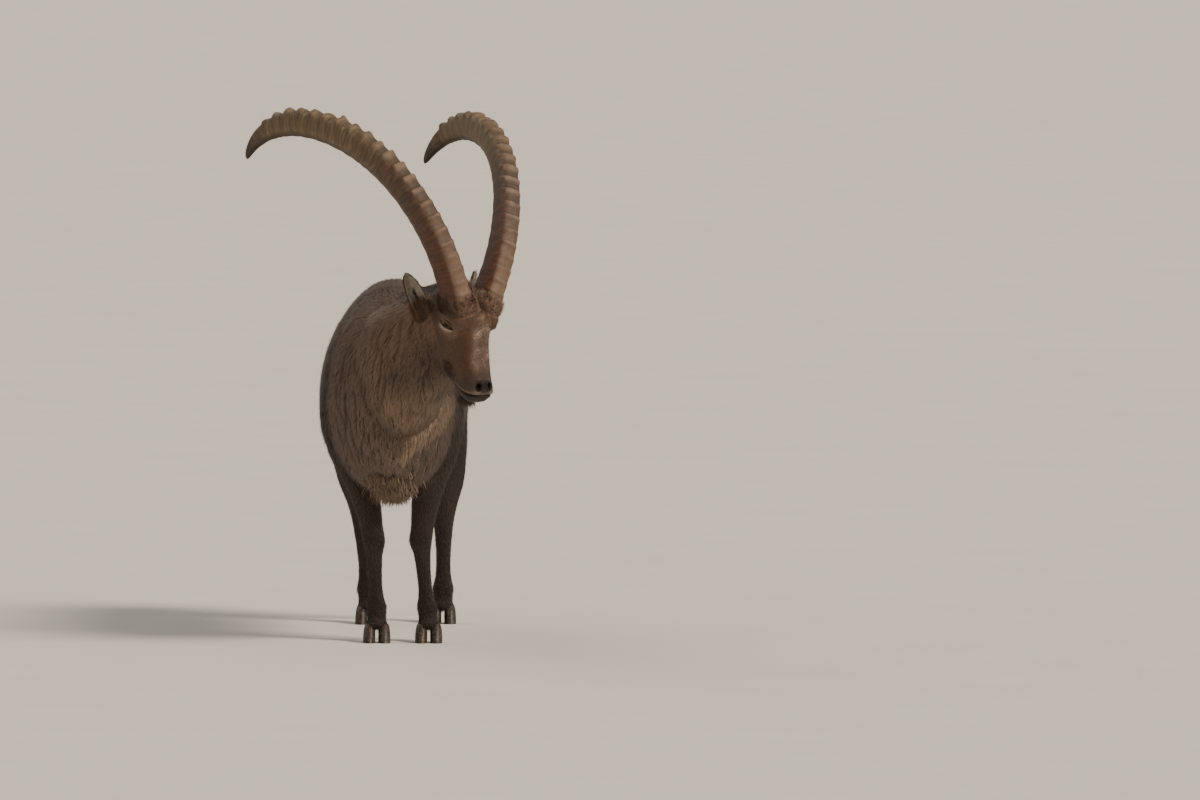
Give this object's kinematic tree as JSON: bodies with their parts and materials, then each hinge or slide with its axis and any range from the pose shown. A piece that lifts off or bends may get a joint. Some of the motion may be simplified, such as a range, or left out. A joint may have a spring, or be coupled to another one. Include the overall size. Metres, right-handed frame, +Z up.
{
  "type": "alpine ibex model",
  "caption": "Life-size standing alpine ibex buck with long ridged swept-back horns, a short beard and cloven hooves, head held low and turned to its left.",
  "frame": {"origin": "on the floor, under the middle of the model's bounding box", "axes": "+Z up, the animal faces -Y, its left side is +X"},
  "size_m": [0.7016, 1.418, 1.3649],
  "materials": {
    "coat": "dense short coat, grey-brown",
    "dark_coat": "short dark brown coat",
    "ear": "short pale hair inside, dark outside",
    "horn": "dull ridged horn",
    "hoof": "dark worn hoof horn",
    "eye": "wet and glossy"
  },
  "bodies": {
    "root": {"torso": "coat", "neck": "coat", "head": "coat", "tail": "dark_coat", "ear_left": "ear", "ear_right": "ear", "eye_left": "eye", "eye_right": "eye", "horn_left": "horn", "horn_right": "horn", "foreleg_left": "dark_coat", "foreleg_right": "dark_coat", "hindleg_left": "dark_coat", "hindleg_right": "dark_coat", "hoof_fore_left_inner": "hoof", "hoof_fore_left_outer": "hoof", "hoof_fore_right_inner": "hoof", "hoof_fore_right_outer": "hoof", "hoof_hind_left_inner": "hoof", "hoof_hind_left_outer": "hoof", "hoof_hind_right_inner": "hoof", "hoof_hind_right_outer": "hoof"}
  },
  "joints": []
}
